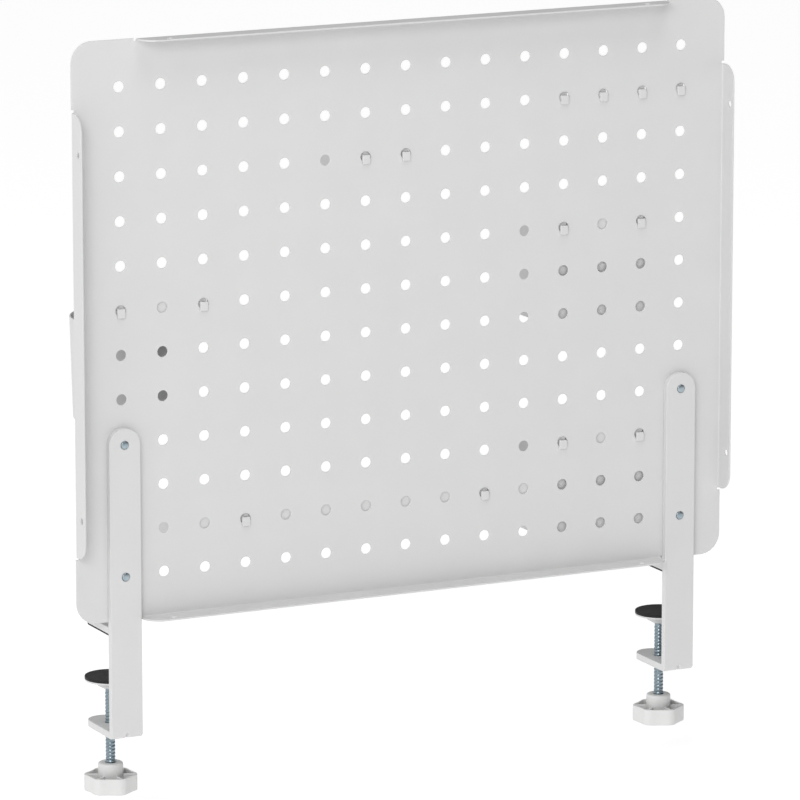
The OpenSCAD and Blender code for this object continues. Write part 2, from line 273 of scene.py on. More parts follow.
def lofted(rings):
    """Closed solid through rings of points, in order."""
    count = len(rings[0])
    points = [p for ring in rings for p in ring]
    faces = [tuple(range(count))[::-1], tuple(range(len(points) - count, len(points)))]
    for k in range(len(rings) - 1):
        for i in range(count):
            j = (i + 1) % count
            faces.append((k * count + i, k * count + j, (k + 1) * count + j, (k + 1) * count + i))
    return points, faces


def moved(solid, matrix):
    return [matrix @ p for p in solid[0]], solid[1]


def upright(back_y):
    """Places a flat outline in x and z, its height running forward from y = back_y."""
    return lambda a, b, t: Vector((a, back_y - t, b))


def level(low_z, centre=(0, 0)):
    """Places a flat outline in x and y, its height running up from z = low_z."""
    return lambda a, b, t: Vector((centre[0] + a, centre[1] + b, low_z + t))


# ---------- materials ----------

def material(name, colour, roughness, metallic=0.0, grain=900, relief=0.01, mottle=0.02,
             blotch=25, rough_spread=0.05, specular=0.5, tint=None):
    """Surface whose colour and gloss vary in soft blotches, towards tint where it is given, with
    a fine relief that breaks up reflections. grain and blotch are in cycles per metre, relief is
    in millimetres."""
    made = bpy.data.materials.new(name)
    made.use_nodes = True
    nodes, links = made.node_tree.nodes, made.node_tree.links
    shader = nodes["Principled BSDF"]
    shader.inputs["Metallic"].default_value = metallic
    shader.inputs["Specular IOR Level"].default_value = specular
    place = nodes.new("ShaderNodeTexCoord")

    def noise(frequency, detail):
        node = nodes.new("ShaderNodeTexNoise")
        node.inputs["Scale"].default_value = frequency
        node.inputs["Detail"].default_value = detail
        links.new(place.outputs["Object"], node.inputs["Vector"])
        return node.outputs["Fac"]

    def spread(source, low, high):
        """The noise's usual values, stretched from low to high."""
        node = nodes.new("ShaderNodeMapRange")
        node.inputs["From Min"].default_value = 0.3
        node.inputs["From Max"].default_value = 0.7
        node.inputs["To Min"].default_value = low
        node.inputs["To Max"].default_value = high
        links.new(source, node.inputs["Value"])
        return node.outputs["Result"]

    soft = noise(blotch, 3)
    fine = noise(grain, 2)
    mix = nodes.new("ShaderNodeMix")
    mix.data_type = "RGBA"
    other = tint or [c * (1 - 2 * mottle) for c in colour]
    mix.inputs["A"].default_value = (*other, 1)
    mix.inputs["B"].default_value = (*colour, 1)
    links.new(spread(soft, 0, 1), mix.inputs["Factor"])
    speck = nodes.new("ShaderNodeMix")
    speck.data_type = "RGBA"
    speck.blend_type = "MULTIPLY"
    speck.inputs["Factor"].default_value = 1
    links.new(mix.outputs["Result"], speck.inputs["A"])
    links.new(spread(fine, 1 - mottle, 1), speck.inputs["B"])
    links.new(speck.outputs["Result"], shader.inputs["Base Color"])
    links.new(spread(soft, roughness - rough_spread, roughness + rough_spread),
              shader.inputs["Roughness"])
    bump = nodes.new("ShaderNodeBump")
    bump.inputs["Strength"].default_value = 1
    bump.inputs["Distance"].default_value = relief * MM
    links.new(fine, bump.inputs["Height"])
    links.new(bump.outputs["Normal"], shader.inputs["Normal"])
    return made


PAINT = material("powder_coat", (0.66, 0.66, 0.66), 0.42, grain=700, relief=0.012, mottle=0.012)
PLASTIC = material("moulded_plastic", (0.70, 0.70, 0.695), 0.38, grain=1600, relief=0.006,
                   mottle=0.01, blotch=60)
ZINC = material("zinc_plating", (0.44, 0.51, 0.55), 0.30, metallic=1.0, grain=2600, relief=0.005,
                mottle=0.04, blotch=240, rough_spread=0.08, tint=(0.30, 0.37, 0.41))
STEEL = material("rolled_thread", (0.27, 0.33, 0.37), 0.30, metallic=1.0, grain=1500,
                 relief=0.003, mottle=0.03, blotch=150, rough_spread=0.04, tint=(0.22, 0.28, 0.31))
RUBBER = material("rubber", (0.016, 0.016, 0.017), 0.55, grain=2200, relief=0.01, mottle=0.12,
                  blotch=120, specular=0.25)
# Lighter, matt copy of the rubber for faces that point up: its lighter colour is painted light from
# above.
RUBBER_PAINTED_TOP_LIGHT = material("rubber_top_painted_light", (0.066, 0.066, 0.068), 0.8, grain=1800, relief=0.05, mottle=0.2,
                blotch=150, specular=0.3)


def piece(name, body, node, surface, slot, *solids):
    """Object made of closed solids. It stands for one CAD node and rides on its body."""
    points, faces = [], []
    for solid_points, solid_faces in solids:
        start = len(points)
        points += solid_points
        faces += [[start + i for i in face] for face in solid_faces]
    mesh = bpy.data.meshes.new(name)
    mesh.from_pydata(points, [], faces)
    work = bmesh.new()
    work.from_mesh(mesh)
    bmesh.ops.remove_doubles(work, verts=work.verts, dist=1e-7)
    bmesh.ops.dissolve_degenerate(work, edges=work.edges, dist=1e-8)
    bmesh.ops.recalc_face_normals(work, faces=work.faces)
    work.to_mesh(mesh)
    work.free()
    mesh.polygons.foreach_set("use_smooth", [True] * len(mesh.polygons))
    mesh.set_sharp_from_angle(angle=math.radians(45))
    mesh.materials.append(surface)
    made = bpy.data.objects.new(name, mesh)
    bpy.context.scene.collection.objects.link(made)
    shading = made.modifiers.new("shading", "WEIGHTED_NORMAL")
    shading.keep_sharp = True
    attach(made, body)
    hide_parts(node)
    return made


# ---------- panel ----------

INNER_FOLD_R = FOLD_R - SHEET
FOLD_STRIP = math.pi / 2 * (INNER_FOLD_R + SHEET / 2)       # the fold's width in the flat sheet
FLANGE_DEPTH = PANEL_HIGH.y
FLAP = FOLD_STRIP + FLANGE_DEPTH - INNER_FOLD_R             # from the fold line to the free edge
FOLD_STEPS = 6
PANEL_HALF = {"x": PANEL_HIGH.x, "z": (PANEL_HIGH.z - PANEL_LOW.z) / 2}
PANEL_MID_Z = (PANEL_HIGH.z + PANEL_LOW.z) / 2
# Each side's outward and onward directions in x and z, going anticlockwise
PANEL_SIDES = [("x", (1, 0), (0, 1)), ("z", (0, 1), (-1, 0)),
               ("x", (-1, 0), (0, -1)), ("z", (0, -1), (1, 0))]


def side_sizes(axis):
    """Where a side's edge and fold line lie, and half the length of its flange."""
    edge = PANEL_HALF[axis]
    return edge, edge - FOLD_R, PANEL_HALF["z" if axis == "x" else "x"] - FLANGE_INSET


def side_outline(axis):
    """One side of the flat panel with its flap and its two notches, then the corner after it,
    as (onward, outward) points."""
    edge, fold, half = side_sizes(axis)
    strip = [fold + FOLD_STRIP * k / FOLD_STEPS for k in range(1, FOLD_STEPS + 1)]
    free, corner = fold + FLAP, FLANGE_CORNER_R
    along_edge = PANEL_HALF["z" if axis == "x" else "x"]
    first = [(-half - NOTCH, edge), (-half - NOTCH, fold), (-half, fold)]
    first += [(-half, out) for out in strip]
    first += arc((-half + corner, free - corner), corner, 180, 90, FLANGE_CORNER_STEPS)
    last = [(-a, out) for a, out in reversed(first)]
    centre = (along_edge - CORNER_R, edge - CORNER_R)
    return first + last + arc(centre, CORNER_R, 90, 0, CORNER_STEPS)


def flat_panel():
    """The flat sheet's outline, the holes, and the lines that keep the folds' mesh in strips."""
    outline, lines = [], []
    for axis, outward, onward in PANEL_SIDES:
        start = len(outline)
        side = side_outline(axis)
        outline += [Vector(onward) * a + Vector(outward) * out for a, out in side]
        # the fold line starts at the notch's third point, and ends as many before the last one
        flap_points = 2 * (3 + FOLD_STEPS + FLANGE_CORNER_STEPS + 1)
        for k in range(FOLD_STEPS + 1):
            lines.append((start + 2 + k, start + flap_points - 3 - k, ()))
    holes = []
    for column in range(COLUMNS):
        for row in range(ROWS):
            x, z = hole(column, row)
            holes.append(circle((x, z - PANEL_MID_Z), HOLE_R))
    for (axis, outward, onward), name in zip(
            PANEL_SIDES, ("left_flange_holes", "top_flange_holes",
                          "right_flange_holes", "bottom_flange_holes")):
        mount = MOUNTS[name]
        apart = mount["dims"].get("spacing_x_mm") or mount["dims"]["spacing_y_mm"]
        out = side_sizes(axis)[1] + FOLD_STRIP + mount["pos_m"][1] - INNER_FOLD_R
        for sign in (-1, 1):
            centre = Vector(onward) * (sign * apart * MM / 2) + Vector(outward) * out
            holes.append(circle(centre, FLANGE_HOLE_R, 24))
    return [outline, *holes], lines


def folded(a, b, t):
    """A point of the flat panel, t below its back face, once the flanges are folded back."""
    flat = Vector((a, b))
    for axis, outward, onward in PANEL_SIDES:
        _, fold, half = side_sizes(axis)
        out = flat.dot(Vector(outward)) - fold
        along = flat.dot(Vector(onward))
        if out > 1e-9 and abs(along) < half + NOTCH / 2:
            angle = min(out / FOLD_STRIP, 1) * math.pi / 2
            radius = INNER_FOLD_R + t
            far = fold + radius * math.sin(angle)
            back = INNER_FOLD_R - radius * math.cos(angle) + max(out - FOLD_STRIP, 0)
            flat = Vector(onward) * along + Vector(outward) * far
            return Vector((flat.x, back, flat.y + PANEL_MID_Z))
    return Vector((a, -t, b + PANEL_MID_Z))


def build_panel():
    loops, lines = flat_panel()
    piece("folded_panel", "root", "panel", PAINT, "white_powder_coat",
          sheet(loops, SHEET, folded, lines=lines))


# ---------- brackets ----------

DART_HALF = 1.9 * MM
DART_SIZE = 4.3 * MM
DART_DEPTH = 1.0 * MM
BEND_SPAN = 9 * MM                  # the fold's share of the flat strap
BEND_STEPS = 20
BEND_MARGIN = 8                     # steps of the fold's mesh that go on into both flats
BAR_END_STEPS = 28
BRACKET_RIM = 0.55 * MM
WELD_R = 1.6 * MM
WELD_SINK = 0.3 * MM                # depth of a bead's underside in the metal
BRACKET_BOTTOM = STRAP_LOW.z
BRACKET_REACH = -STRAP_LOW.y


def bracket_outline():
    """Flat strap, its fold and its lower plate, with a = across and b = down from the fold."""
    top = BRACKET_BOTTOM + STRAP_T - STRAP_HIGH.z
    radius = STRAP_W / 2
    rise = [BEND_SPAN * k / BEND_STEPS
            for k in range(-BEND_MARGIN, BEND_STEPS + BEND_MARGIN + 1)]
    end = BEND_SPAN + BRACKET_REACH
    outline = [(radius, b) for b in rise]
    outline += arc((0, end - radius), radius, 0, 180, BAR_END_STEPS)
    outline += [(-radius, b) for b in reversed(rise)]
    outline += arc((0, top + radius), radius, 180, 360, BAR_END_STEPS)
    lines = []
    for k, b in enumerate(rise):        # a finer row of points where the dart crosses the fold
        across = [Vector((DART_HALF * 1.6 * i / 10, b)) for i in range(10, -11, -1)]
        lines.append((k, 2 * len(rise) + BAR_END_STEPS - k, across))
    return [Vector(p) for p in outline], lines


def bend_radius_at(angle):
    """Distance from the fold's inner corner to its outside, which is a rounded square."""
    flat = STRAP_T - STRAP_BEND_R
    c, s = math.cos(angle), math.sin(angle)
    if STRAP_T * min(c, s) <= flat * max(c, s):
        return STRAP_T / max(c, s)
    return flat * (c + s) + math.sqrt(flat ** 2 * (c + s) ** 2 - 2 * flat ** 2 + STRAP_BEND_R ** 2)


def dented(point, across):
    """The point pushed in where the pressed dart crosses the fold's outside. The point is
    (back, down) from the fold's inner corner."""
    diagonal = Vector((1, 1)).normalized()
    depth = point.dot(diagonal)
    chord = (2 * STRAP_T - DART_SIZE) * diagonal.x
    bowl = math.cos(min(abs(across) / DART_HALF, 1) * math.pi / 2)
    floor = chord + 2 * DART_DEPTH - 3 * DART_DEPTH * bowl
    excess = depth - floor
    if excess <= 0 or abs(across) >= DART_HALF:
        return point
    return point - diagonal * (excess * min(1, 1.6 * bowl))


def bent(centre_x):
    """Places the flat bracket: t = 0 is the face towards the desk."""
    def place(a, b, t):
        if b <= 0:
            spot = Vector((t, b))
        elif b < BEND_SPAN:
            angle = b / BEND_SPAN * math.pi / 2
            reach = bend_radius_at(angle) * t / STRAP_T
            spot = Vector((reach * math.cos(angle), reach * math.sin(angle)))
        else:
            spot = Vector((BEND_SPAN - b, t))
        if t > STRAP_T / 2:
            spot = dented(spot, a)
        return Vector((centre_x + a, spot.x, BRACKET_BOTTOM + STRAP_T - spot.y))
    return place


def build_bracket(side, sign):
    x = sign * CLAMP_X
    outline, lines = bracket_outline()
    fold_z = BRACKET_BOTTOM + STRAP_T
    holes = [circle((0, fold_z - hole(0, row)[1]), BOLT_HOLE_R) for row in BOLT_ROWS]
    holes.append(circle((0, BEND_SPAN - SPINDLE_Y), SPINDLE_R + 0.15 * MM))
    piece(side + "_strap", "root", side + "_bracket", PAINT, "white_powder_coat",
          sheet([outline, *holes], STRAP_T, bent(x), (BRACKET_RIM, BRACKET_RIM), lines))

    low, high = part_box(side + "_jaw")
    jaw = shifted([Vector((p.x, -p.y)) for p in round_ended(STRAP_W, 0, -low.y)][::-1], x, 0)
    piece(side + "_upper_jaw", "root", side + "_jaw", PAINT, "white_powder_coat",
          sheet([jaw], high.z - low.z, level(low.z), (BRACKET_RIM, BRACKET_RIM)),
          weld_bead(x, high.z))

    low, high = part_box(side + "_jaw_pad")
    pad = round_ended(high.x - low.x, 0, high.y - low.y)
    pad = shifted([Vector((p.x, -p.y)) for p in pad][::-1], x, high.y)
    piece(side + "_jaw_rubber", "root", side + "_jaw_pad", RUBBER, "black_rubber",
          sheet([pad], high.z - low.z, level(low.z), (0.4 * MM, 0.1 * MM)))


def weld_bead(x, z):
    """Rippled fillet weld in the corner between the strap and the top of the jaw."""
    rings = []
    half, count = STRAP_W / 2 - 2.5 * MM, 72
    for k in range(count + 1):
        along = -half + 2 * half * k / count
        end = min(1, (half - abs(along)) / (2 * MM))
        size = WELD_R * (0.35 + 0.65 * math.sqrt(max(end, 0)))      # it tapers at both ends
        size *= 1 + 0.07 * math.sin(k * math.pi / 2)                # and ripples in between
        ring = [(0.2 * MM, -WELD_SINK), (0.2 * MM, size)]
        for angle in (105, 135, 165):
            bow = size * 1.25
            ring.append((-size + bow * math.cos(math.radians(angle)) * -0.32,
                         size + bow * math.sin(math.radians(angle)) * -0.62))
        ring.append((-size, -WELD_SINK))
        rings.append([Vector((x + along, a, z + b)) for a, b in ring])
    return lofted(rings)


# ---------- bolts and washers ----------

def build_bolts():
    """Hexagon socket bolts, built upright with the head down, then turned so that the head is
    on the panel's front, with a washer under each."""
    low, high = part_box("strap_bolts")
    head_r, head_h, key = 7 * MM, 4.4 * MM, 5 * MM
    socket_h = head_h * 0.75
    shank = high.y - low.y
    flip = Matrix.Rotation(math.radians(-90), 4, "X")
    washer_low, washer_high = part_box("strap_washers")
    head = circle((0, 0), head_r, 48)
    socket = circle((0, 0), key / math.sqrt(3), 6)
    parts = [sheet([head, socket], socket_h, level(0), (0.7 * MM, 0)),
             sheet([head], head_h - socket_h, level(socket_h), (0, 0.3 * MM)),
             turned([(0, head_h * 0.8), (BOLT_SHANK_R, head_h * 0.8),
                     (BOLT_SHANK_R, shank - 0.9 * MM), (BOLT_SHANK_R - 0.25 * MM, shank - 0.4 * MM),
                     (BOLT_SHANK_R - 0.75 * MM, shank), (0, shank)], (0, 0), 40)]
    ring = sheet([circle((0, 0), 9 * MM, 56), circle((0, 0), 3.9 * MM, 40)],
                 washer_high.y - washer_low.y, level(0), (0.25 * MM, 0.25 * MM))
    bolts, washers = [], []
    for sign in SIDES.values():
        for row in BOLT_ROWS:
            x, z = hole(0, row)
            spot = Matrix.Translation((sign * x, low.y, z)) @ flip
            bolts += [moved(part, spot) for part in parts]
            washers.append(moved(ring, Matrix.Translation((sign * x, washer_low.y, z)) @ flip))
    piece("bolts", "root", "strap_bolts", ZINC, "zinc_steel", *bolts)
    piece("washers", "root", "strap_washers", ZINC, "zinc_steel", *washers)


# ---------- feet, spindles and knobs ----------

FOOT_THICK = 1.6 * MM
FOOT_HUB_R = 11.3 * MM
FOOT_NECK_R = 5.5 * MM              # of the hub's tapered lower end
FOOT_TAPER = 3.2 * MM


def build_foot(side, sign):
    centre = (sign * CLAMP_X, SPINDLE_Y)
    low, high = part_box(side + "_pressure_plate")
    radius = (high.x - low.x) / 2
    under = high.z - FOOT_THICK
    plate = fillet([(0, low.z), (FOOT_NECK_R, low.z), (FOOT_HUB_R, low.z + FOOT_TAPER),
                    (FOOT_HUB_R, under), (radius, under), (radius, high.z), (0, high.z)],
                   [0, 0.8 * MM, 1.6 * MM, 0.8 * MM, 0.5 * MM, 0.4 * MM, 0], closed=False)
    piece(side + "_foot_plate", side + "_foot", side + "_pressure_plate", PAINT,
          "white_powder_coat", turned(plate, centre, 96))
    low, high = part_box(side + "_rubber_disc")
    disc = fillet([(0, low.z), (radius, low.z), (radius, high.z), (0, high.z)],
                  [0, 0.15 * MM, 0.35 * MM, 0], closed=False)
    made = piece(side + "_foot_rubber", side + "_foot", side + "_rubber_disc", RUBBER,
                 "black_rubber", turned(disc, centre, 96))
    made.data.materials.append(RUBBER_PAINTED_TOP_LIGHT)            # faces that point up get a lighter, matt copy of the rubber, whose lighter colour is painted light from above; the side stays dark and glossy
    # faces that point up take the copy with painted light
    for face in made.data.polygons:
        face.material_index = int(face.normal.z > 0.95)


def threaded(centre, low_z, high_z):
    """Right-hand thread with broad rounded crests that runs out to a plain core at both ends."""
    around, rows, minor = 40, 12, SPINDLE_R - THREAD_DEPTH
    turns = math.ceil((high_z - low_z) / LEAD) + 2
    grid = []
    for j in range(rows * turns + 1):
        crest = 0.5 - 0.5 * math.cos(2 * math.pi * (j % rows / rows))
        crest = 1 - (1 - crest) ** 1.6
        line = []
        for i in range(around + 1):
            z = low_z + LEAD * (j / rows + i / around - 1.5)
            run_out = max(0.0, min(1.0, min(z - low_z, high_z - z) / LEAD))
            r = minor + THREAD_DEPTH * crest * run_out
            turn = 2 * math.pi * i / around
            line.append(Vector((centre[0] + r * math.cos(turn), centre[1] + r * math.sin(turn),
                                max(low_z, min(high_z, z)))))
        grid.append(line)
    points = [p for line in grid for p in line]
    wide = around + 1
    faces = [(j * wide + i, j * wide + i + 1, (j + 1) * wide + i + 1, (j + 1) * wide + i)
             for j in range(len(grid) - 1) for i in range(around)]
    # the first and last rows lie wholly past the ends, so they close the rod flat
    faces.append(tuple(range(around))[::-1])
    last = (len(grid) - 1) * wide
    faces.append(tuple(range(last, last + around)))
    return points, faces


def build_spindle(side, sign):
    centre = (sign * CLAMP_X, SPINDLE_Y)
    low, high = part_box(side + "_spindle")
    head_r = (high.x - low.x) / 2
    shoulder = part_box(side + "_pressure_plate")[0].z - 0.2 * MM
    head_top = low.z + 5.3 * MM
    head = sheet([circle((0, 0), head_r, 6)], head_top - low.z, level(low.z, centre),
                 (0.4 * MM, 0.4 * MM))
    neck = turned([(0, shoulder - MM), (2.5 * MM, shoulder - MM), (2.5 * MM, high.z - MM),
                   (4 * MM, high.z - MM), (4 * MM, high.z - 0.4 * MM), (3.2 * MM, high.z),
                   (0, high.z)], centre, 32)
    piece(side + "_thread", side + "_screw", side + "_spindle", STEEL, "zinc_steel",
          threaded(centre, head_top - MM, shoulder), head, neck)


KNOB_TURN = 5                       # the first corner's angle from +Y, in degrees
KNOB_WAIST = 2.4 * MM               # how far a side's middle lies inside the corners
KNOB_NOSE = 9                       # half angle of a corner's round nose
KNOB_BLEND = 1.3 * MM               # softens where a side meets a corner
KNOB_WALL = 2.0 * MM
KNOB_RIB = 1.8 * MM
KNOB_HUB_R = 10.8 * MM
KNOB_FLOOR = 4.5 * MM               # heights above the knob's underside
KNOB_HUB_FLOOR = 6.9 * MM
KNOB_RIM = 14.4 * MM
KNOB_RECESS_R = 8.5 * MM            # of the recess that holds the spindle's head and the cap


def heading(angle):
    """Unit vector at an angle in degrees."""
    return Vector((math.cos(math.radians(angle)), math.sin(math.radians(angle))))


def knob_radius(angle, size, inset=0.0):
    """Distance from a knob's axis to its six-cornered outline, at an angle in degrees."""
    waist = size - KNOB_WAIST
    nose = heading(30 - KNOB_NOSE) * size
    centre = (nose.length_squared - waist ** 2) / (2 * (nose.x - waist))
    bow = centre - waist + inset
    off = math.radians((angle - KNOB_TURN - 90) % 60 - 30)      # from the nearest side's middle
    side = centre * math.cos(off) - math.sqrt(bow ** 2 - (centre * math.sin(off)) ** 2)
    corner = size - inset
    gap = side - corner
    return (side + corner - math.hypot(gap, KNOB_BLEND)) / 2


def knob_outline(size):
    return [heading(a) * knob_radius(a, size) for a in range(0, 360, 3)]


def knob_pockets(size):
    """Outlines of the six open pockets between the hub, the wall and the ribs."""
    pockets = []
    far_clear = math.degrees(math.asin(KNOB_RIB / 2 / (KNOB_HUB_R + 4 * MM)))
    near_clear = math.degrees(math.asin(KNOB_RIB / 2 / KNOB_HUB_R))
    for k in range(6):
        start = KNOB_TURN + 90 + 60 * k
        far = [heading(a) * knob_radius(a, size, KNOB_WALL)
               for a in (start + 60 * i / 16 for i in range(17))
               if start + far_clear <= a <= start + 60 - far_clear]
        near = arc((0, 0), KNOB_HUB_R, start + 60 - near_clear, start + near_clear, 6)
        pockets.append(far + near)
    return pockets


def build_knob(side, sign):
    centre = (sign * CLAMP_X, SPINDLE_Y)
    low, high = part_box(side + "_knob")
    size = (high.y - low.y) / 2
    bore = circle((0, 0), KNOB_HUB_R - 2 * MM, 40)
    wall = sheet([knob_outline(size), *knob_pockets(size), bore], KNOB_RIM - KNOB_FLOOR,
                 level(low.z + KNOB_FLOOR, centre), (0, 0.7 * MM), steps=4)
    base = sheet([knob_outline(size), circle((0, 0), KNOB_RECESS_R, 48)], KNOB_FLOOR,
                 level(low.z, centre), (1.0 * MM, 0), steps=4)
    hub_low = low.z + KNOB_HUB_FLOOR
    hub = turned(fillet([(SPINDLE_R + 0.5 * MM, hub_low), (KNOB_HUB_R, hub_low),
                         (KNOB_HUB_R, high.z), (SPINDLE_R + 0.35 * MM, high.z)],
                        [0, 0, 1.9 * MM, 0.7 * MM], 6), centre, 72, closed=True)
    piece(side + "_hand_knob", side + "_screw", side + "_knob", PLASTIC, "white_plastic",
          base, wall, hub)
    low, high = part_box(side + "_knob_cap")
    radius = (high.x - low.x) / 2
    plug = fillet([(0, low.z), (radius, low.z), (radius, high.z), (0, high.z)],
                  [0, 0.3 * MM, 0, 0], closed=False)
    piece(side + "_knob_plug", side + "_screw", side + "_knob_cap", PLASTIC, "white_plastic",
          turned(plug, centre, 56))


# ---------- accessories ----------

PEG_CORNER_R = 1.4 * MM
PEG_OVERLAP = 0.4 * MM              # how far a peg ends inside the plate that is drawn behind it
TONGUE_HALF = 3.6 * MM
TONGUE_T = 1.8 * MM


def peg_solids(x, z, front_y, back_y):
    """Round-bottomed peg through the hole at x, z, and its tongue behind the panel."""
    sink = -HOLE_R + PEG_R + 0.1 * MM
    peg = arc((0, sink), PEG_R, 180, 360, 20)
    peg += arc((PEG_R - PEG_CORNER_R, PEG_TOP - PEG_CORNER_R), PEG_CORNER_R, 0, 90, 5)
    peg += arc((PEG_CORNER_R - PEG_R, PEG_TOP - PEG_CORNER_R), PEG_CORNER_R, 90, 180, 5)
    tongue = fillet(rectangle(-TONGUE_HALF, TONGUE_HALF, -TONGUE_DROP, PEG_TOP),
                    [0.8 * MM, 0.8 * MM, PEG_CORNER_R, PEG_CORNER_R])
    end_y = back_y - PEG_OVERLAP
    return [sheet([shifted(peg, x, z)], end_y - front_y, upright(end_y), (0, 0)),
            sheet([shifted(tongue, x, z)], TONGUE_T, upright(back_y), (0.45 * MM, 0.3 * MM))]


HOOK_T = 2.6 * MM
HOOK_TOP = 5 * MM                   # above the hole's middle
HOOK_TIP = 18 * MM                  # above the hook's underside
HOOK_BEND_R = 7 * MM                # outer radius
HOOK_ROUND = 0.8 * MM               # radius of both ends' edges


def build_hook(name, column, row):
    x, z = hole(column, row)
    low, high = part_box(name)
    width = high.x - low.x
    reach = HANG_Y - low.y
    bottom = low.z - z
    middle = HOOK_T / 2
    # the bar's own line from its top down, along the reach and up to the tip, in (forward, z)
    path = [(middle, HOOK_TOP), (middle, bottom + middle),
            (reach - middle, bottom + middle), (reach - middle, bottom + HOOK_TIP)]
    path = fillet(path, [0, HOOK_BEND_R - middle, HOOK_BEND_R - middle, 0], 8, closed=False)
    section = fillet(rectangle(-width / 2, width / 2, -middle, middle), 0.7 * MM, 3)

    def ring(spot, along, shrink=0.0):
        """Section across the line at spot, smaller by shrink all round."""
        side = Vector((-along.y, along.x))
        wide, tall = 1 - shrink / (width / 2), 1 - shrink / middle
        out = [(s.x * wide, spot + side * s.y * tall) for s in section]
        return [Vector((x + across, HANG_Y - q.x, z + q.y)) for across, q in out]

    def end(spot, along, out, angles):
        """Rings of a rounded end, which points along out."""
        turns = [math.radians(a) for a in angles]
        return [ring(spot + out * (HOOK_ROUND * math.sin(t)), along, HOOK_ROUND * (1 - math.cos(t)))
                for t in turns]

    first = (path[1] - path[0]).normalized()
    last = (path[-1] - path[-2]).normalized()
    rings = end(path[0], first, -first, (90, 60, 30))
    for i, p in enumerate(path):
        before, after = path[max(i - 1, 0)], path[min(i + 1, len(path) - 1)]
        rings.append(ring(p, (after - before).normalized()))
    rings += end(path[-1], last, last, (30, 60, 90))
    piece(name + "_bar", name, name, PAINT, "white_powder_coat", lofted(rings),
          *peg_solids(x, z, HANG_Y - middle, high.y))


HANGER_CORNER_R = 5 * MM
SLOT_HALF = 0.6 * MM                # the slots that free a peg's sides from the strip
SLOT_LOW, SLOT_HIGH = -3 * MM, 3.4 * MM
SLOT_OFFSET = 4.15 * MM


def build_hanger(name, body, pegs, bottom, extra=()):
    """Flat strip that carries an accessory, with a peg for each (column, row)."""
    low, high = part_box(name)
    outline = fillet(rectangle(low.x, high.x, bottom, high.z), HANGER_CORNER_R, 6)
    slot = fillet(rectangle(-SLOT_HALF, SLOT_HALF, SLOT_LOW, SLOT_HIGH), 0.4 * MM, 3)
    slots, solids = [], []
    for column, row in pegs:
        x, z = hole(column, row)
        slots += [shifted(slot, x + sign * SLOT_OFFSET, z) for sign in (-1, 1)]
        solids += peg_solids(x, z, HANG_Y - BOX_T / 2, high.y)
    solids.append(sheet([outline, *slots], BOX_T, upright(HANG_Y), (0.4 * MM, 0.1 * MM)))
    piece(name + "_strip", body, name, PAINT, "white_powder_coat", *solids, *extra)


TUB_OUTER_R = 3.2 * MM              # of the upright corners
TUB_INNER_R = 1.2 * MM
TUB_RIM = 0.55 * MM                 # radius of the brim's edges
TUB_FLOOR_BOW = 0.7                 # inner radius at the floor, as a share of the wall
TUB_SOFTNESS = 9 * MM               # length over which the cheek's slope starts and ends
TUB_STATIONS = 28


def inner_point(p, half, depth):
    """The inner wall's point that belongs to a point of a tub's outline. The corners of the two
    walls have their own centres."""
    nearest = Vector((max(TUB_OUTER_R - half, min(half - TUB_OUTER_R, p.x)),
                      max(TUB_OUTER_R, min(depth - TUB_OUTER_R, p.y))))
    away = (p - nearest).normalized()
    on_corner = abs(away.x) > 1e-6 and abs(away.y) > 1e-6
    beside_corner = p.y <= TUB_OUTER_R + 1e-9 or p.y >= depth - TUB_OUTER_R - 1e-9
    if on_corner or abs(p.x) >= half - TUB_OUTER_R - 1e-9 and beside_corner:
        margin = BOX_T + TUB_INNER_R
        centre = Vector((math.copysign(half - margin, p.x),
                         margin if p.y < depth / 2 else depth - margin))
        return centre + away * TUB_INNER_R
    return p - away * BOX_T


